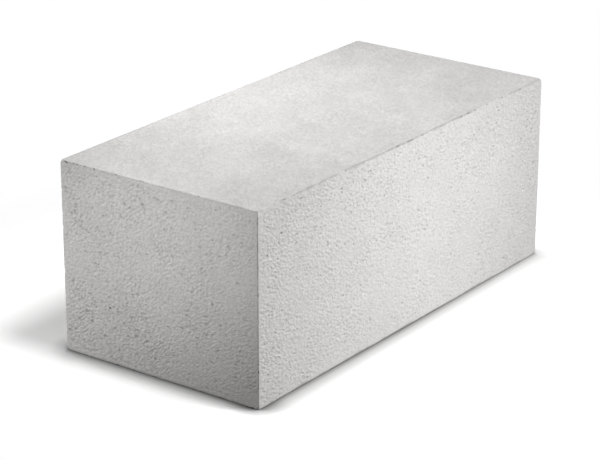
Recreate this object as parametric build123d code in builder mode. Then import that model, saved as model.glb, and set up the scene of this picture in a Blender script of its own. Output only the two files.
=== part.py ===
from build123d import *
from itertools import product
import os

# Aerated concrete wall block, sawn from a cast cake.
# Millimetres. X runs along the block, Y through the wall, Z is up.
# The origin is the middle of the lower bed face.

# Sawn size of the block
block_length = 625.0
block_width = 300.0
block_height = 250.0

# Wear of the brittle edges: every arris is rubbed round,
# and each corner has crumbled back this far along its three arrises
arris_radius = 1.0
corner_wear = 4.0

with BuildPart() as block:
    # The lower bed face, carried up to the upper one
    with BuildSketch() as bed_face:
        Rectangle(block_length, block_width)
    extrude(amount=block_height)

    # The eight corners, each worn to a small facet
    for along, across, up in product((-1, 1), repeat=3):
        corner = Vector(along * block_length, across * block_width, block_height + up * block_height) / 2
        facet_point = corner - Vector(along * corner_wear, 0, 0)
        worn_facet = Plane(origin=facet_point, z_dir=(along, across, up))
        split(bisect_by=worn_facet, keep=Keep.BOTTOM)

    # The arrises, and the rims of the worn corners
    fillet(block.edges(), radius=arris_radius)

block.part.label = "block"
os.makedirs("parts", exist_ok=True)
export_step(block.part, "parts/block.step")
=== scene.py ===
import math

import bmesh
import bpy
import numpy as np
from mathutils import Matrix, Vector


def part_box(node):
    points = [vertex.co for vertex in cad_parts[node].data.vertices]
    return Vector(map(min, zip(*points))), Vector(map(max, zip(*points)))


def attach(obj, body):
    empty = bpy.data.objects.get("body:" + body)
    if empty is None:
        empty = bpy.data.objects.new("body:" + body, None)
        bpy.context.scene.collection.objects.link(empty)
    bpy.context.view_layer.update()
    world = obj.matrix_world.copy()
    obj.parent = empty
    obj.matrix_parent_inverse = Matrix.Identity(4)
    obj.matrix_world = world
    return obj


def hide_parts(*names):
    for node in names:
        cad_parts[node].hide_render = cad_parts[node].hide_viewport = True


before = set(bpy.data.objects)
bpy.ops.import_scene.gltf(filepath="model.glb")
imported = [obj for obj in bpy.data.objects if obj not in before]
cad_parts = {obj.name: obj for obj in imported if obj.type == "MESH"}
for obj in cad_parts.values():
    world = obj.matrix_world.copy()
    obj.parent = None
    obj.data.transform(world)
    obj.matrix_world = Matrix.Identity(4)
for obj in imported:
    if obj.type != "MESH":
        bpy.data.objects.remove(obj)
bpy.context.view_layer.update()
blockLow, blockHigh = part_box("block")
blockSize = blockHigh - blockLow
blockMiddle = (blockLow + blockHigh) / 2
mm = 0.001
nearTop, nearFoot = (-1, -1, 1), (-1, -1, -1)      # the two corners nearest the camera, in half sides
print("frame loaded, block is", [round(side / mm) for side in blockSize], "mm")


# small helpers for node trees

def addNode(tree, kind, **settings):
    node = tree.nodes.new(kind)
    for name, value in settings.items():
        setattr(node, name, value)
    return node


def feed(tree, socket, value):
    if isinstance(value, bpy.types.NodeSocket):
        tree.links.new(value, socket)
    else:
        socket.default_value = value


def maths(tree, operation, *values):
    node = addNode(tree, "ShaderNodeMath", operation=operation)
    for socket, value in zip(node.inputs, values):
        feed(tree, socket, value)
    return node.outputs[0]


def times(tree, *values):
    product = values[0]
    for value in values[1:]:
        product = maths(tree, "MULTIPLY", product, value)
    return product


def remap(tree, value, fromLow, fromHigh, toLow=0.0, toHigh=1.0, smooth=False):
    node = addNode(tree, "ShaderNodeMapRange", interpolation_type="SMOOTHSTEP" if smooth else "LINEAR")
    entries = (value, fromLow, fromHigh, toLow, toHigh)
    for name, entry in zip(("Value", "From Min", "From Max", "To Min", "To Max"), entries):
        feed(tree, node.inputs[name], entry)
    return node.outputs["Result"]


def ramp(tree, value, reach, toLow=0.0, toHigh=1.0):
    return remap(tree, value, *reach, toLow, toHigh, True)


def between(tree, share, start, end):
    return remap(tree, share, 0.0, 1.0, start, end)


def noise(tree, size, place=None, detail=2.0, roughness=0.5):
    node = addNode(tree, "ShaderNodeTexNoise")
    if place is not None:
        feed(tree, node.inputs["Vector"], place)
    node.inputs["Scale"].default_value = 1 / size
    node.inputs["Detail"].default_value = detail
    node.inputs["Roughness"].default_value = roughness
    return node.outputs[0]


def splitAxes(tree, vector):
    split = addNode(tree, "ShaderNodeSeparateXYZ")
    feed(tree, split.inputs[0], vector)
    return list(split.outputs)


def distanceFrom(tree, place, point):
    node = addNode(tree, "ShaderNodeVectorMath", operation="DISTANCE")
    feed(tree, node.inputs[0], place)
    node.inputs[1].default_value = point
    return node.outputs["Value"]


def sharePoint(share):
    # a place given as shares of the half sides
    return Vector([middle + part * side / 2 for middle, part, side in zip(blockMiddle, share, blockSize)])


def blockDistances(tree, axes):
    # how far a point lies inside the faces along each axis
    inside = []
    for axis in range(3):
        offset = maths(tree, "ABSOLUTE", maths(tree, "SUBTRACT", axes[axis], blockMiddle[axis]))
        inside.append(maths(tree, "SUBTRACT", blockSize[axis] / 2, offset))
    lesser = maths(tree, "MINIMUM", inside[0], inside[1])
    greater = maths(tree, "MAXIMUM", inside[0], inside[1])
    return inside, lesser, greater


def fromArris(tree, inside, lesser, greater):
    # the second smallest of the three distances
    return maths(tree, "MAXIMUM", lesser, maths(tree, "MINIMUM", greater, inside[2]))


# aerated concrete: one procedural finish for all six faces

concrete = {
    "colour": (0.70, 0.692, 0.678),
    "roughness": 0.95,
    "gloss": 0.2,
    "relief": 1.2 * mm,
    "faceBlend": (0, 1.5 * mm),        # where one face's pattern gives way to the next
    "mottle": {      # cloudy at every scale
        "size": 60 * mm, "detail": 5.0, "roughness": 0.8,
        "shade": 0.24, "bedShade": 0.42,
        "bedTurn": (0, 0, 35), "bedStretch": (1.45, 1, 1),
    },
    "grain": {      # lighter and darker crumbs, drawn out a little the way the wire ran
        "side": {"size": 3.5 * mm, "turn": (0, 25, 0), "stretch": (1.5, 1, 1),
                 # lip: where the next crumb lies; paintedLipShade: how much painted shade falls under it, as
                 # if lit from above
                 "detail": 1.2, "roughness": 0.5, "lip": (2.9 * mm, 0, 0.9 * mm), "paintedLipShade": 0.08},
        "end": {"size": 2.4 * mm, "turn": (-35, 0, 0), "stretch": (1, 1.8, 1),
                "detail": 0.6, "roughness": 0.5, "lip": (0, 1.8 * mm, 1.9 * mm), "paintedLipShade": 0.3},
        "bed": {"size": 3.6 * mm, "turn": (0, 0, 35), "stretch": (1.8, 1, 1),
                "detail": 3.0, "roughness": 0.6},
    },
    "grainShade": 0.55,
    "rough": {      # how strong the crumbs and specks are
        "side": 1.27, "end": 0.91, "bed": 0.97,
        "patchSize": 42 * mm, "patchNoise": (0.35, 0.65), "patches": (0.65, 1.2),
        "nearEnd": 1.25, "farEnd": 0.9, "nearReach": 250 * mm,
        "sideFoot": 0.78, "endFoot": 1.05, "upper": 0.98,
        "sideShare": 0.78, "endAcross": (0.75, 1.2),
        "calm": 0.5, "calmReach": (1 * mm, 9 * mm),        # calmer beside the arrises
    },
    "specks": {      # pores too small for the mesh: painted shade in the colour, and dips in the relief
        "size": 4.8 * mm, "stretch": (1.45, 1.5, 1),
        "rim": (0.2, 0.6), "core": 0.3,
        "side": 0.98, "end": 0.9, "bed": 0.12,
        "shade": 0.28, "depth": 0.6,
    },
    "pores": {"shade": 0.85, "reach": (0.1 * mm, 0.9 * mm)},        # painted shade: the brightness left at the bottom of the pits
    "arris": {      # painted shade along the crumbled arrises round the beds
        "long": 0.68, "far": 0.82, "farFrom": 200 * mm,
        "end": 0.85, "endBlend": 60 * mm,
        "start": 0.2 * mm, "least": 0.5 * mm, "width": 6.5 * mm,
        "noiseSize": 45 * mm, "noiseDetail": 5.0, "noiseRoughness": 0.8, "noiseRange": (0.4, 0.68),
        "held": 0.93, "heldBlend": 20 * mm,
        "heldAt": [(nearTop, 10 * mm), ((0.59, -1, 1), 28 * mm), (nearFoot, 12 * mm)],   # kept its edge here
    },
    "upright": {"upper": 0.62, "foot": 0.85, "reach": (0.2 * mm, 1.8 * mm)},      # thin lines of shade
    "chips": {"shade": 0.5, "fromArris": (3 * mm, 5 * mm), "depth": (0.35 * mm, 0.8 * mm)},     # painted shade in them
    "corner": {"shade": 0.92, "reach": (40 * mm, 170 * mm)},        # painted shade over the upper bed by the near corner
    "foot": {      # dirt and painted shade along the foot
        "shade": 0.78, "far": 0.92, "reach": (0.3 * mm, 4 * mm),
        "corner": 0.97, "cornerReach": (8 * mm, 70 * mm),
    },
    "bands": {      # wire marks across the upper bed, clearest by the near long side
        "pitch": 55 * mm, "phase": 30 * mm, "width": 0.25, "shade": 0.035,
        "breakSize": 45 * mm, "breakDetail": 3.0, "breakRange": (0.4, 0.6),
        "across": (-50 * mm, 150 * mm), "acrossLeft": 0.2,
        "along": (80 * mm, 250 * mm), "alongLeft": 0.1,
    },
}


def surfaceSpot(tree, faceBlend):
    # where a point of the surface lies, for every pattern to use
    place = addNode(tree, "ShaderNodeTexCoord").outputs["Object"]
    axes = splitAxes(tree, place)
    inside, lesser, greater = blockDistances(tree, axes)
    onBed = ramp(tree, maths(tree, "SUBTRACT", lesser, inside[2]), faceBlend)
    onEnd = ramp(tree, maths(tree, "SUBTRACT", inside[1], inside[0]), faceBlend)
    return {
        "place": place, "axes": axes, "onBed": onBed, "onEnd": onEnd,
        "onTop": times(tree, onBed, maths(tree, "GREATER_THAN", axes[2], blockMiddle.z)),
        "depth": maths(tree, "MINIMUM", lesser, inside[2]),
        "toArris": fromArris(tree, inside, lesser, greater),
        "toLevelArris": maths(tree, "MAXIMUM", lesser, inside[2]),
        "toUprightArris": greater,
    }


def byFace(tree, spot, values):
    upright = between(tree, spot["onEnd"], values["side"], values["end"])
    return between(tree, spot["onBed"], upright, values["bed"])


def stretched(tree, place, turn, stretch):
    mapping = addNode(tree, "ShaderNodeMapping", vector_type="TEXTURE")
    feed(tree, mapping.inputs["Vector"], place)
    mapping.inputs["Rotation"].default_value = [math.radians(angle) for angle in turn]
    mapping.inputs["Scale"].default_value = stretch
    return mapping.outputs[0]


def fromMiddle(tree, value):
    # a noise is about a half on average
    return maths(tree, "SUBTRACT", value, 0.5)


def mottleTone(tree, spot, mottle):
    turned = stretched(tree, spot["place"], mottle["bedTurn"], mottle["bedStretch"])
    clouds = [noise(tree, mottle["size"], place, mottle["detail"], mottle["roughness"])
              for place in (spot["place"], turned)]
    cloud = between(tree, spot["onBed"], *clouds)
    shade = between(tree, spot["onBed"], mottle["shade"], mottle["bedShade"])
    return maths(tree, "MULTIPLY_ADD", fromMiddle(tree, cloud), shade, 1.0)


def crumbNoise(tree, place, crumb):
    drawn = stretched(tree, place, crumb["turn"], crumb["stretch"])
    return noise(tree, crumb["size"], drawn, crumb["detail"], crumb["roughness"])


def paintedLightFromAbove(tree, place, crumb, grain):
    # painted light and shade: a crumb is painted darker just under the lip of the next one and lighter on its
    # upper flank, as if lit from above
    if "lip" not in crumb:
        return grain
    above = addNode(tree, "ShaderNodeVectorMath", operation="ADD")
    feed(tree, above.inputs[0], place)
    above.inputs[1].default_value = crumb["lip"]
    lip = fromMiddle(tree, crumbNoise(tree, above.outputs[0], crumb))
    return maths(tree, "MULTIPLY_ADD", lip, -crumb["paintedLipShade"], grain)


def sawnRough(tree, spot, rough):
    # the saw tore the uprights most by the near end, and the ends towards one side and the foot
    along, across, up = spot["axes"]
    onEnd = spot["onEnd"]
    patchNoise = noise(tree, rough["patchSize"], spot["place"])
    patch = remap(tree, patchNoise, *rough["patchNoise"], *rough["patches"])
    nearReach = (blockLow.x, blockLow.x + rough["nearReach"])
    tornAlong = ramp(tree, along, nearReach, rough["nearEnd"], rough["farEnd"])
    endAcross = remap(tree, across, blockLow.y, blockHigh.y, *rough["endAcross"])
    tornAcross = between(tree, onEnd, rough["sideShare"], endAcross)
    foot = between(tree, onEnd, rough["sideFoot"], rough["endFoot"])
    tornUp = remap(tree, up, blockLow.z, blockHigh.z, foot, rough["upper"])
    face = between(tree, onEnd, rough["side"], rough["end"])
    calm = ramp(tree, spot["toArris"], rough["calmReach"], rough["calm"], 1.0)
    upright = times(tree, tornAlong, tornAcross, tornUp, face, calm)
    return times(tree, patch, between(tree, spot["onBed"], upright, rough["bed"]))


def speckDots(tree, spot, specks):
    # round dots of many sizes, one to a cell
    cells = addNode(tree, "ShaderNodeTexVoronoi")
    feed(tree, cells.inputs["Vector"], stretched(tree, spot["place"], (0, 0, 0), specks["stretch"]))
    cells.inputs["Scale"].default_value = 1 / specks["size"]
    chance = addNode(tree, "ShaderNodeSeparateColor")
    feed(tree, chance.inputs[0], cells.outputs["Color"])
    rim = between(tree, chance.outputs[0], *specks["rim"])
    dot = ramp(tree, cells.outputs["Distance"], (times(tree, rim, specks["core"]), rim), 1.0, 0.0)
    return times(tree, dot, chance.outputs[1], byFace(tree, spot, specks))


# painted shade along the arrises round the beds, broken by noise, lighter towards the far end, on the ends
# and where the edge held
def levelArrisPaintedShade(tree, spot, arris):
    along, across = spot["axes"][:2]
    wander = noise(tree, arris["noiseSize"], spot["place"], arris["noiseDetail"], arris["noiseRoughness"])
    wander = remap(tree, wander, *arris["noiseRange"])
    crumbled = maths(tree, "MULTIPLY_ADD", wander, arris["width"], arris["least"])
    longTone = remap(tree, along, arris["farFrom"], blockHigh.x, arris["long"], arris["far"])
    for share, reach in arris["heldAt"]:
        away = distanceFrom(tree, spot["place"], sharePoint(share))
        longTone = ramp(tree, away, (reach, reach + arris["heldBlend"]), arris["held"], longTone)
    endTone = remap(tree, across, blockLow.y, blockLow.y + arris["endBlend"], longTone, arris["end"])
    tone = between(tree, spot["onEnd"], longTone, endTone)
    return ramp(tree, spot["toLevelArris"], (arris["start"], crumbled), tone, 1.0)


def uprightArrisTone(tree, spot, upright):
    tone = remap(tree, spot["axes"][2], blockLow.z, blockHigh.z, upright["foot"], upright["upper"])
    return ramp(tree, spot["toUprightArris"], upright["reach"], tone, 1.0)


# painted shade in chips and nicks near the arrises, darker the deeper they go
def paintedChipShade(tree, spot, chips):
    tone = remap(tree, spot["toArris"], *chips["fromArris"], chips["shade"], 1.0)
    return ramp(tree, spot["depth"], chips["depth"], 1.0, tone)


# dirt and painted contact shade along the foot, lighter by the near foot corner and towards the far end
def footDirtAndShade(tree, spot, foot):
    tone = remap(tree, spot["axes"][0], 0.0, blockHigh.x, foot["shade"], foot["far"])
    away = distanceFrom(tree, spot["place"], sharePoint(nearFoot))
    tone = ramp(tree, away, foot["cornerReach"], foot["corner"], tone)
    return ramp(tree, spot["axes"][2], foot["reach"], tone, 1.0)


# painted shade over the upper bed, fading away from the near upper corner
def paintedCornerShade(tree, spot, corner):
    away = distanceFrom(tree, spot["place"], sharePoint(nearTop))
    cornerShading = ramp(tree, away, corner["reach"], 1.0, 0.0)
    return between(tree, times(tree, cornerShading, spot["onTop"]), 1.0, corner["shade"])


def bandTone(tree, spot, bands):
    along, across = spot["axes"][:2]
    phase = maths(tree, "DIVIDE", maths(tree, "SUBTRACT", along, bands["phase"]), bands["pitch"])
    fromLine = maths(tree, "ABSOLUTE", maths(tree, "SUBTRACT", phase, maths(tree, "ROUND", phase)))
    line = ramp(tree, fromLine, (0.0, bands["width"]), 1.0, 0.0)
    broken = noise(tree, bands["breakSize"], spot["place"], bands["breakDetail"])
    mark = times(tree, line, ramp(tree, broken, bands["breakRange"]),
                 remap(tree, across, *bands["across"], 1.0, bands["acrossLeft"]),
                 remap(tree, along, *bands["along"], 1.0, bands["alongLeft"]), spot["onTop"])
    return between(tree, mark, 1.0, 1 - bands["shade"])


def concreteMaterial(look):
    material = bpy.data.materials.new("aeratedConcrete")
    material.use_nodes = True
    tree = material.node_tree
    shader = tree.nodes["Principled BSDF"]
    shader.inputs["Roughness"].default_value = look["roughness"]
    shader.inputs["Specular IOR Level"].default_value = look["gloss"]
    spot = surfaceSpot(tree, look["faceBlend"])

    # crumbs and specks, which both the colour and the relief use
    grains, paintedLit = {}, {}
    for face, crumb in look["grain"].items():
        grains[face] = crumbNoise(tree, spot["place"], crumb)
        paintedLit[face] = paintedLightFromAbove(tree, spot["place"], crumb, grains[face])
    rough = sawnRough(tree, spot, look["rough"])
    crumbs = times(tree, fromMiddle(tree, byFace(tree, spot, grains)), rough)
    paintedLitCrumbs = times(tree, fromMiddle(tree, byFace(tree, spot, paintedLit)), rough)
    # specks: painted shade of pores too small for the mesh, also dipped into the relief
    specks = times(tree, speckDots(tree, spot, look["specks"]), rough)

    # colour: the bare concrete; painted shade under crumb lips, in specks, pores and chips, along arrises and
    # by the near upper corner; dirt and painted shade at the foot; wire marks
    tones = [mottleTone(tree, spot, look["mottle"]),
             maths(tree, "MULTIPLY_ADD", paintedLitCrumbs, look["grainShade"], 1.0),
             between(tree, specks, 1.0, 1 - look["specks"]["shade"]),
             # painted shade in the pits, deeper is darker
             ramp(tree, spot["depth"], look["pores"]["reach"], 1.0, look["pores"]["shade"]),
             levelArrisPaintedShade(tree, spot, look["arris"]),
             uprightArrisTone(tree, spot, look["upright"]),
             paintedChipShade(tree, spot, look["chips"]),
             footDirtAndShade(tree, spot, look["foot"]),
             paintedCornerShade(tree, spot, look["corner"]),
             bandTone(tree, spot, look["bands"])]
    tint = addNode(tree, "ShaderNodeVectorMath", operation="SCALE")
    tint.inputs[0].default_value = look["colour"]
    feed(tree, tint.inputs["Scale"], times(tree, *tones))
    tree.links.new(tint.outputs[0], shader.inputs["Base Color"])

    # relief: the small pores and the crumbs between them
    bump = addNode(tree, "ShaderNodeBump")
    feed(tree, bump.inputs["Height"], maths(tree, "MULTIPLY_ADD", specks, -look["specks"]["depth"], crumbs))
    bump.inputs["Distance"].default_value = look["relief"]
    tree.links.new(bump.outputs["Normal"], shader.inputs["Normal"])
    return material


# the block: the CAD shape with open pores and nicked arrises cut by geometry nodes

block = {
    "pits": {      # depth is a share of the radius
        "fine": {"spacing": 5.2 * mm, "small": 0.8 * mm, "large": 1.8 * mm, "depth": 0.4, "seed": 3},
        "open": {"spacing": 19 * mm, "small": 1.1 * mm, "large": 2.3 * mm, "depth": 1.0, "seed": 8},
        "bed": {"spacing": 15 * mm, "small": 0.6 * mm, "large": 1.4 * mm, "depth": 0.4, "seed": 15},
    },
    "pitSides": {"fine": 5, "open": 7, "bed": 5},
    "pitMouth": 1.25,              # how far a pit's cutter pokes out, with its rim at 1
    "pitLuck": 1.8,                # a larger power gives fewer large pits
    "pitStretch": (0.75, 1.35), "pitDepths": (0.5, 1.5),
    "pitCalm": 0.25, "pitCalmReach": (1.5 * mm, 9 * mm),      # smaller beside the arrises
    "crowdSize": 28 * mm, "crowdNoise": (0.35, 0.65), "crowd": (0.35, 1.3),     # they grow larger in patches
    "bedFacing": 0.7,              # a face that points up or down more than this is a bed
    "nicks": {"spacing": 8 * mm, "small": 0.5 * mm, "large": 1.9 * mm, "length": 2.6, "seed": 21},
    "nickLuck": 3.0, "nickShift": 0.4,
    "nickCalm": 0.2, "nickCalmReach": (10 * mm, 50 * mm),     # fewer by the near upper corner
    "chips": [     # place as shares of the half sides, then radii in millimetres
        ((-1.0, 0.955, 1.0), (2.0, 6.0, 1.6)),
        ((-1.0, 0.865, 1.0), (1.6, 2.4, 1.3)),
        ((-1.0, 0.650, 1.0), (1.6, 3.4, 1.3)),
        ((-1.0, 0.420, 1.0), (1.6, 2.6, 1.2)),
        ((0.985, -1.0, 1.0), (3.0, 1.4, 1.4)),
        ((-0.10, -1.0, 1.0), (7.0, 1.4, 1.1)),
        ((0.00, -1.0, 1.0), (5.0, 1.5, 1.2)),
        ((0.07, -1.0, 1.0), (8.0, 1.4, 1.1)),
        ((0.21, -1.0, 1.0), (5.0, 1.2, 1.0)),
        ((0.36, -1.0, 1.0), (6.0, 1.5, 1.2)),
        ((0.42, -1.0, 1.0), (5.0, 1.7, 1.3)),
        ((0.47, -1.0, 1.0), (5.0, 1.3, 1.1)),
        ((0.82, -1.0, 1.0), (4.0, 1.6, 1.2)),
        ((0.92, -1.0, 1.0), (3.0, 1.2, 1.0)),
    ],
    "chipTilt": (0.3, 0.2, 0.0),
    "cornerFill": 7 * mm,
    "crispCorners": [(nearTop, 0.02 * mm), (nearFoot, 0.45 * mm)],      # hardly worn, and how far back
    "rimAngle": 24,
    "flatFacing": 0.9999,          # a face squarer than this is a sawn one
    "mergeWithin": 0.001 * mm,
    "uvGap": 6 * mm,
}


def randomFloat(tree, low, high, seed, salt):
    node = addNode(tree, "FunctionNodeRandomValue", data_type="FLOAT")
    feed(tree, node.inputs[2], low)
    feed(tree, node.inputs[3], high)
    feed(tree, node.inputs["Seed"], maths(tree, "ADD", seed, salt))
    return node.outputs[1]


def threeWay(tree, x, y, z):
    node = addNode(tree, "ShaderNodeCombineXYZ")
    for socket, value in zip(node.inputs, (x, y, z)):
        feed(tree, socket, value)
    return node.outputs[0]


def faceAxes(tree):
    normal = addNode(tree, "GeometryNodeInputNormal").outputs[0]
    return [maths(tree, "ABSOLUTE", axis) for axis in splitAxes(tree, normal)]


def compare(tree, operation, value, limit):
    node = addNode(tree, "FunctionNodeCompare", operation=operation)
    feed(tree, node.inputs[0], value)
    node.inputs[1].default_value = limit
    return node.outputs[0]


def moved(tree, shape, **places):
    node = addNode(tree, "GeometryNodeTransform")
    tree.links.new(shape, node.inputs["Geometry"])
    for name, value in places.items():
        node.inputs[name].default_value = value
    return node.outputs["Geometry"]


def pitShape(tree, sides, mouth):
    # a pointed bowl one unit deep, one unit from its middle to its rim, that pokes out a little
    bowl = addNode(tree, "GeometryNodeMeshCone", fill_type="TRIANGLE_FAN")
    bowl.inputs["Vertices"].default_value = sides
    bowl.inputs["Radius Top"].default_value = mouth
    bowl.inputs["Radius Bottom"].default_value = 0.0
    bowl.inputs["Depth"].default_value = mouth
    return moved(tree, bowl.outputs["Mesh"], Translation=(0, 0, -1))


def scatterPits(tree, inputs, kind, settings):
    # pits of one kind over the upright faces, or over the beds
    spacing, small, large, depth, seed = [
        inputs[kind + " " + name] for name in ("spacing", "small", "large", "depth", "seed")]
    upDown = faceAxes(tree)[2]
    chosen = compare(tree, "GREATER_THAN" if kind == "bed" else "LESS_THAN", upDown, settings["bedFacing"])
    scatter = addNode(tree, "GeometryNodeDistributePointsOnFaces", distribute_method="POISSON")
    feed(tree, scatter.inputs["Mesh"], inputs["Geometry"])
    feed(tree, scatter.inputs["Selection"], chosen)
    feed(tree, scatter.inputs["Distance Min"], spacing)
    feed(tree, scatter.inputs["Density Max"], maths(tree, "DIVIDE", 2.0, times(tree, spacing, spacing)))
    feed(tree, scatter.inputs["Seed"], seed)
    crowd = remap(tree, noise(tree, settings["crowdSize"]), *settings["crowdNoise"], *settings["crowd"])
    place = addNode(tree, "GeometryNodeInputPosition").outputs[0]
    toArris = fromArris(tree, *blockDistances(tree, splitAxes(tree, place)))
    calm = remap(tree, toArris, *settings["pitCalmReach"], settings["pitCalm"], 1.0)
    luck = maths(tree, "POWER", randomFloat(tree, 0.0, 1.0, seed, 1), settings["pitLuck"])
    spread = maths(tree, "SUBTRACT", large, small)
    radius = times(tree, maths(tree, "MULTIPLY_ADD", times(tree, luck, crowd), spread, small), calm)
    stretch = randomFloat(tree, *settings["pitStretch"], seed, 2)
    deep = times(tree, radius, depth, randomFloat(tree, *settings["pitDepths"], seed, 3))
    turn = addNode(tree, "FunctionNodeAxisAngleToRotation")
    feed(tree, turn.inputs["Angle"], randomFloat(tree, 0.0, 2 * math.pi, seed, 4))
    spun = addNode(tree, "FunctionNodeRotateRotation", rotation_space="LOCAL")
    feed(tree, spun.inputs["Rotation"], scatter.outputs["Rotation"])
    feed(tree, spun.inputs["Rotate By"], turn.outputs["Rotation"])
    pits = addNode(tree, "GeometryNodeInstanceOnPoints")
    feed(tree, pits.inputs["Points"], scatter.outputs["Points"])
    feed(tree, pits.inputs["Instance"], pitShape(tree, settings["pitSides"][kind], settings["pitMouth"]))
    feed(tree, pits.inputs["Rotation"], spun.outputs["Rotation"])
    wide, narrow = times(tree, radius, stretch), maths(tree, "DIVIDE", radius, stretch)
    feed(tree, pits.inputs["Scale"], threeWay(tree, wide, narrow, deep))
    return pits.outputs["Instances"]


def fillCorner(tree, corner, inset, size):
    # a small cube, set back from the corner of the box by the inset
    cube = addNode(tree, "GeometryNodeMeshCube")
    cube.inputs["Size"].default_value = (size, size, size)
    half = size / 2 + inset
    return moved(tree, cube.outputs["Mesh"], Translation=sharePoint(corner) - half * Vector(corner))


def roughBall(tree, rounds):
    ball = addNode(tree, "GeometryNodeMeshIcoSphere")
    ball.inputs["Subdivisions"].default_value = rounds
    return ball.outputs["Mesh"]


def nickArrises(tree, inputs, settings):
    # small nicks along the twelve arrises, longer along the arris than across it
    spacing, small, large, length, seed = [
        inputs["nick " + name] for name in ("spacing", "small", "large", "length", "seed")]
    hull = addNode(tree, "GeometryNodeBoundBox")
    feed(tree, hull.inputs["Geometry"], inputs["Geometry"])
    arris = addNode(tree, "GeometryNodeMeshToCurve")
    feed(tree, arris.inputs["Mesh"], hull.outputs["Bounding Box"])
    steps = addNode(tree, "GeometryNodeCurveToPoints", mode="LENGTH")
    feed(tree, steps.inputs["Curve"], arris.outputs["Curve"])
    feed(tree, steps.inputs["Length"], spacing)
    luck = maths(tree, "POWER", randomFloat(tree, 0.0, 1.0, seed, 1), settings["nickLuck"])
    place = addNode(tree, "GeometryNodeInputPosition").outputs[0]
    away = distanceFrom(tree, place, sharePoint(nearTop))
    calm = remap(tree, away, *settings["nickCalmReach"], settings["nickCalm"], 1.0)
    spread = maths(tree, "SUBTRACT", large, small)
    radius = times(tree, maths(tree, "MULTIPLY_ADD", luck, spread, small), calm)
    reach = times(tree, radius, randomFloat(tree, 1.0, length, seed, 2))
    most = settings["nickShift"]
    shift = addNode(tree, "ShaderNodeVectorMath", operation="SCALE")
    feed(tree, shift.inputs[0], steps.outputs["Tangent"])
    feed(tree, shift.inputs["Scale"], times(tree, spacing, randomFloat(tree, -most, most, seed, 3)))
    shifted = addNode(tree, "GeometryNodeSetPosition")
    feed(tree, shifted.inputs["Geometry"], steps.outputs["Points"])
    feed(tree, shifted.inputs["Offset"], shift.outputs[0])
    nicks = addNode(tree, "GeometryNodeInstanceOnPoints")
    feed(tree, nicks.inputs["Points"], shifted.outputs["Geometry"])
    feed(tree, nicks.inputs["Instance"], roughBall(tree, 1))
    feed(tree, nicks.inputs["Rotation"], steps.outputs["Rotation"])
    feed(tree, nicks.inputs["Scale"], threeWay(tree, radius, radius, reach))
    return nicks.outputs["Instances"]


def chipBalls(tree, settings):
    # the larger chips, placed one by one
    return [moved(tree, roughBall(tree, 2), Translation=sharePoint(share), Rotation=settings["chipTilt"],
                  Scale=[radius * mm for radius in radii])
            for share, radii in settings["chips"]]


def shadeFaces(tree, solid, settings):
    # sawn faces stay flat, pore walls and rubbed arrises are smooth with crisp rims
    square = faceAxes(tree)
    squarest = maths(tree, "MAXIMUM", maths(tree, "MAXIMUM", square[0], square[1]), square[2])
    smooth = addNode(tree, "GeometryNodeSetShadeSmooth", domain="FACE")
    tree.links.new(solid, smooth.inputs["Geometry"])
    feed(tree, smooth.inputs["Shade Smooth"], compare(tree, "LESS_THAN", squarest, settings["flatFacing"]))
    fold = addNode(tree, "GeometryNodeInputMeshEdgeAngle").outputs["Signed Angle"]
    rim = compare(tree, "GREATER_THAN", fold, math.radians(settings["rimAngle"]))
    crease = addNode(tree, "GeometryNodeSetShadeSmooth", domain="EDGE")
    tree.links.new(smooth.outputs[0], crease.inputs["Geometry"])
    tree.links.new(rim, crease.inputs["Selection"])
    crease.inputs["Shade Smooth"].default_value = False
    return crease.outputs[0]


def treeSizes(settings):
    # every size that is an input of the tree, by the input's name
    sizes = {}
    for kind, pit in settings["pits"].items():
        sizes.update({kind + " " + name: value for name, value in pit.items()})
    sizes.update({"nick " + name: value for name, value in settings["nicks"].items()})
    return sizes


def poreTree(settings):
    tree = bpy.data.node_groups.new("openPores", "GeometryNodeTree")
    tree.interface.new_socket("Geometry", in_out="INPUT", socket_type="NodeSocketGeometry")
    for name in treeSizes(settings):
        kind = "NodeSocketInt" if name.endswith("seed") else "NodeSocketFloat"
        tree.interface.new_socket(name, in_out="INPUT", socket_type=kind)
    tree.interface.new_socket("Concrete", in_out="INPUT", socket_type="NodeSocketMaterial")
    tree.interface.new_socket("Geometry", in_out="OUTPUT", socket_type="NodeSocketGeometry")
    start = addNode(tree, "NodeGroupInput")
    inputs = {socket.name: socket for socket in start.outputs}
    rounds = [[scatterPits(tree, inputs, kind, settings)] for kind in settings["pits"]]
    rounds.append([nickArrises(tree, inputs, settings)])
    rounds.append(chipBalls(tree, settings))
    whole = addNode(tree, "GeometryNodeMeshBoolean", operation="UNION", solver="MANIFOLD")
    tree.links.new(inputs["Geometry"], whole.inputs["Mesh 2"])
    for corner, inset in settings["crispCorners"]:
        tree.links.new(fillCorner(tree, corner, inset, settings["cornerFill"]), whole.inputs["Mesh 2"])
    solid = whole.outputs["Mesh"]
    for cutters in rounds:
        cut = addNode(tree, "GeometryNodeMeshBoolean", operation="DIFFERENCE", solver="MANIFOLD")
        tree.links.new(solid, cut.inputs["Mesh 1"])
        for cutter in cutters:
            tree.links.new(cutter, cut.inputs["Mesh 2"])
        solid = cut.outputs["Mesh"]
    solid = shadeFaces(tree, solid, settings)
    real = addNode(tree, "GeometryNodeRealizeInstances")
    tree.links.new(solid, real.inputs[0])
    paint = addNode(tree, "GeometryNodeSetMaterial")
    tree.links.new(real.outputs[0], paint.inputs["Geometry"])
    tree.links.new(inputs["Concrete"], paint.inputs["Material"])
    tree.links.new(paint.outputs[0], addNode(tree, "NodeGroupOutput").inputs[0])
    return tree


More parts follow.
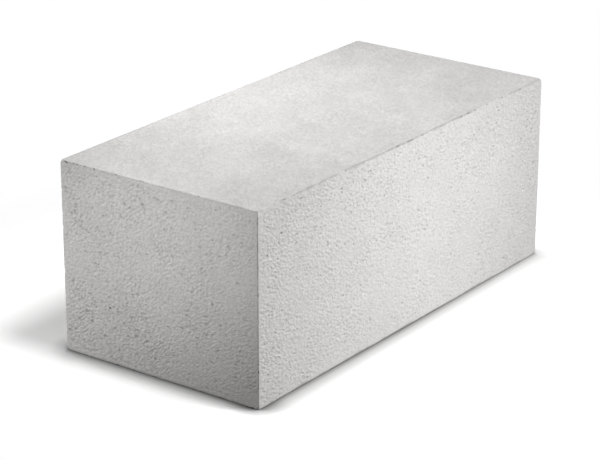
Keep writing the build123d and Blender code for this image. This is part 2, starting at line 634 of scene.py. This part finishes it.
def mergedCopy(node, name, within):
    sheet = bmesh.new()
    sheet.from_mesh(node.data)
    bmesh.ops.remove_doubles(sheet, verts=sheet.verts, dist=within)
    mesh = bpy.data.meshes.new(name)
    sheet.to_mesh(mesh)
    sheet.free()
    copy = bpy.data.objects.new(name, mesh)
    bpy.context.scene.collection.objects.link(copy)
    return copy


def readMesh(rows, name, width, kind):
    values = np.empty(len(rows) * width, dtype=kind)
    rows.foreach_get(name, values)
    return values.reshape(-1, width) if width > 1 else values


def unfoldBlock(mesh, gap):
    # UV map: the six faces laid flat in four rows, each pore on the face it opens in
    length, width, height = blockSize
    along, across, up = range(3)
    rows = [(width, [(up, 1, along, across), (along, 0, up, across)]),
            (width, [(up, 0, along, across), (along, 1, up, across)]),
            (height, [(across, 0, along, up)]),
            (height, [(across, 1, along, up)])]
    sheetWide = length + height + 3 * gap
    sheetHigh = 2 * width + 2 * height + 5 * gap
    points = readMesh(mesh.vertices, "co", 3, float) - np.array(blockLow)
    centres = readMesh(mesh.polygons, "center", 3, float) - np.array(blockLow)
    corners = readMesh(mesh.loops, "vertex_index", 1, np.int32)
    counts = readMesh(mesh.polygons, "loop_total", 1, np.int32)
    depths = []
    layout = []
    low = gap
    for rowHigh, faces in rows:
        left = gap
        for axis, high, uAxis, vAxis in faces:
            depths.append(np.abs(centres[:, axis] - blockSize[axis] * high))
            layout.append((uAxis, vAxis, left, low))
            left += blockSize[uAxis] + gap
        low += rowHigh + gap
    face = np.repeat(np.argmin(depths, axis=0), counts)
    uv = np.zeros((len(corners), 2))
    for index, (uAxis, vAxis, left, low) in enumerate(layout):
        mine = face == index
        uv[mine, 0] = (points[corners[mine], uAxis] + left) / sheetWide
        uv[mine, 1] = (points[corners[mine], vAxis] + low) / sheetHigh
    mesh.uv_layers.new(name="OFBake").data.foreach_set("uv", uv.ravel())


def buildBlock(settings, look):
    blank = mergedCopy(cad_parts["block"], "blockBlank", settings["mergeWithin"])
    finish = concreteMaterial(look)
    tree = poreTree(settings)
    sizes = treeSizes(settings)
    pores = blank.modifiers.new("openPores", "NODES")
    pores.node_group = tree
    for item in tree.interface.items_tree:
        if item.name in sizes:
            pores[item.identifier] = sizes[item.name]
        elif item.name == "Concrete":
            pores[item.identifier] = finish
    evaluated = blank.evaluated_get(bpy.context.evaluated_depsgraph_get())
    mesh = bpy.data.meshes.new_from_object(evaluated)
    blank.modifiers.remove(pores)
    bpy.data.objects.remove(blank)
    mesh.name = "concreteBlock"
    mesh.materials.clear()       # the cutters leave empty slots behind
    mesh.materials.append(finish)
    mesh.polygons.foreach_set("material_index", [0] * len(mesh.polygons))
    unfoldBlock(mesh, settings["uvGap"])
    piece = bpy.data.objects.new("concreteBlock", mesh)
    bpy.context.scene.collection.objects.link(piece)
    mesh.calc_loop_triangles()
    print("block cut:", len(mesh.vertices), "vertices,", len(mesh.loop_triangles), "triangles")
    return piece


piece = buildBlock(block, concrete)
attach(piece, "root")
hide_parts("block")


# studio: white floor, soft lamps and the camera

floor = {
    "size": 8.0,
    "seen": 1.38, "seenInFront": 1.03,         # as the camera sees it, bright enough to stay white
    "bounce": 0.1,                             # as the block sees it
    "frontNear": (-0.05, 0.03), "frontFar": (-0.01, 0.05),      # edges of the strip in front of the block,
    "frontSide": (-0.01, 0.07),                                 # counted from the block's own
    "shades": [      # soft shadow at the foot
        {"reach": 0.032, "depth": 1.45, "cornerDepth": 2.8},
        {"reach": 0.009, "depth": 0.72, "cornerDepth": 0.05},
    ],
    "shadeSamples": 8,
    "cornerReach": (0.0, 0.05),
    "farShade": 0.62,                          # it is weaker by the far end
    "fade": (0.42, 0.6),
}


def straightRays(tree):
    # what the camera sees, also in a mirror or through glass
    ray = addNode(tree, "ShaderNodeLightPath")
    mirrored = maths(tree, "MAXIMUM", ray.outputs["Is Glossy Ray"], ray.outputs["Is Transmission Ray"])
    return maths(tree, "MAXIMUM", ray.outputs["Is Camera Ray"], mirrored)


def pastEdge(edge, reach):
    return [edge + step for step in reach]


def floorBrightness(tree, place, settings):
    along, across = splitAxes(tree, place)[:2]
    inFront = times(tree, ramp(tree, along, pastEdge(blockLow.x, settings["frontNear"])),
                    ramp(tree, along, pastEdge(blockHigh.x, settings["frontFar"]), 1, 0),
                    ramp(tree, across, pastEdge(blockLow.y, settings["frontSide"]), 1, 0))
    bright = between(tree, inFront, settings["seen"], settings["seenInFront"])
    weaken = remap(tree, along, 0.0, blockHigh.x, 1.0, settings["farShade"])
    fromCorner = distanceFrom(tree, place, (blockLow.x, blockLow.y, 0))
    for shade in settings["shades"]:
        touch = addNode(tree, "ShaderNodeAmbientOcclusion", samples=settings["shadeSamples"])
        touch.inputs["Distance"].default_value = shade["reach"]
        depth = ramp(tree, fromCorner, settings["cornerReach"], shade["cornerDepth"], shade["depth"])
        darken = maths(tree, "POWER", touch.outputs["AO"], times(tree, depth, weaken))
        bright = times(tree, darken, bright)
    return bright


def layFloor(settings):
    half = settings["size"] / 2
    mesh = bpy.data.meshes.new("studioFloor")
    corners = [(-half, -half, 0), (half, -half, 0), (half, half, 0), (-half, half, 0)]
    mesh.from_pydata(corners, [], [(0, 1, 2, 3)])
    sheet = bpy.data.objects.new("studioFloor", mesh)
    bpy.context.scene.collection.objects.link(sheet)
    material = bpy.data.materials.new("whiteFloor")
    material.use_nodes = True
    tree = material.node_tree
    tree.nodes.remove(tree.nodes["Principled BSDF"])
    seen = straightRays(tree)
    place = addNode(tree, "ShaderNodeTexCoord").outputs["Object"]
    paint = addNode(tree, "ShaderNodeBsdfDiffuse")
    bright = floorBrightness(tree, place, settings)
    feed(tree, paint.inputs["Color"], between(tree, seen, settings["bounce"], bright))
    white = addNode(tree, "ShaderNodeEmission")
    fade = ramp(tree, distanceFrom(tree, place, (0, 0, 0)), settings["fade"])
    mixed = addNode(tree, "ShaderNodeMixShader")
    feed(tree, mixed.inputs[0], times(tree, seen, fade))
    tree.links.new(paint.outputs[0], mixed.inputs[1])
    tree.links.new(white.outputs[0], mixed.inputs[2])
    tree.links.new(mixed.outputs[0], tree.nodes["Material Output"].inputs["Surface"])
    mesh.materials.append(material)


sky = {"strength": 0.10}


def lightSky(settings):
    world = bpy.data.worlds.new("studioSky")
    bpy.context.scene.world = world
    world.use_nodes = True
    tree = world.node_tree
    background = tree.nodes["Background"]
    background.inputs["Color"].default_value = (1, 1, 1, 1)
    feed(tree, background.inputs["Strength"], between(tree, straightRays(tree), settings["strength"], 1))


lamps = {
    "key": {"place": (0.076, -1.062, 2.708), "size": 1.02, "power": 54.4},
    "front": {"place": (0.072, -0.768, 0.155), "size": 0.21, "power": 2.86},
    "left": {"place": (-0.638, 0.340, 0.101), "size": 0.17, "power": 0.80},
    "nearEnd": {"place": (-0.404, -0.038, 0.222), "size": 0.34, "power": 0.16},
    "above": {"place": (0.013, 0.154, 0.437), "size": 0.45, "power": 0.378},
    "rearSide": {"place": (0.5, 2.4, 0.18), "size": 0.3, "power": 15},     # the faces behind stay light
    "rearEnd": {"place": (2.4, 0.0, 0.18), "size": 0.3, "power": 15},
}


def aimAt(holder, place, target):
    holder.location = place
    holder.rotation_euler = (Vector(target) - Vector(place)).to_track_quat("-Z", "Y").to_euler()
    bpy.context.scene.collection.objects.link(holder)


def hangLamps(lampList):
    for name, lamp in lampList.items():
        light = bpy.data.lights.new(name, "AREA")
        light.shape = "DISK"
        light.size = lamp["size"]
        light.energy = lamp["power"]
        aimAt(bpy.data.objects.new(name, light), lamp["place"], blockMiddle)


view = {
    "place": (-2.3728, -1.7287, 1.2280),
    "aim": (0.0157, 0.0317, 0.0842),
    "focalPixels": 2431.9,
    "imageWidth": 600,
}


def setCamera(settings):
    camera = bpy.data.cameras.new("studioCamera")
    camera.sensor_fit = "HORIZONTAL"
    camera.lens = settings["focalPixels"] * camera.sensor_width / settings["imageWidth"]
    holder = bpy.data.objects.new("studioCamera", camera)
    aimAt(holder, settings["place"], settings["aim"])
    bpy.context.scene.camera = holder


layFloor(floor)
lightSky(sky)
hangLamps(lamps)
setCamera(view)
bpy.context.scene.view_settings.view_transform = "Standard"
print("studio set")
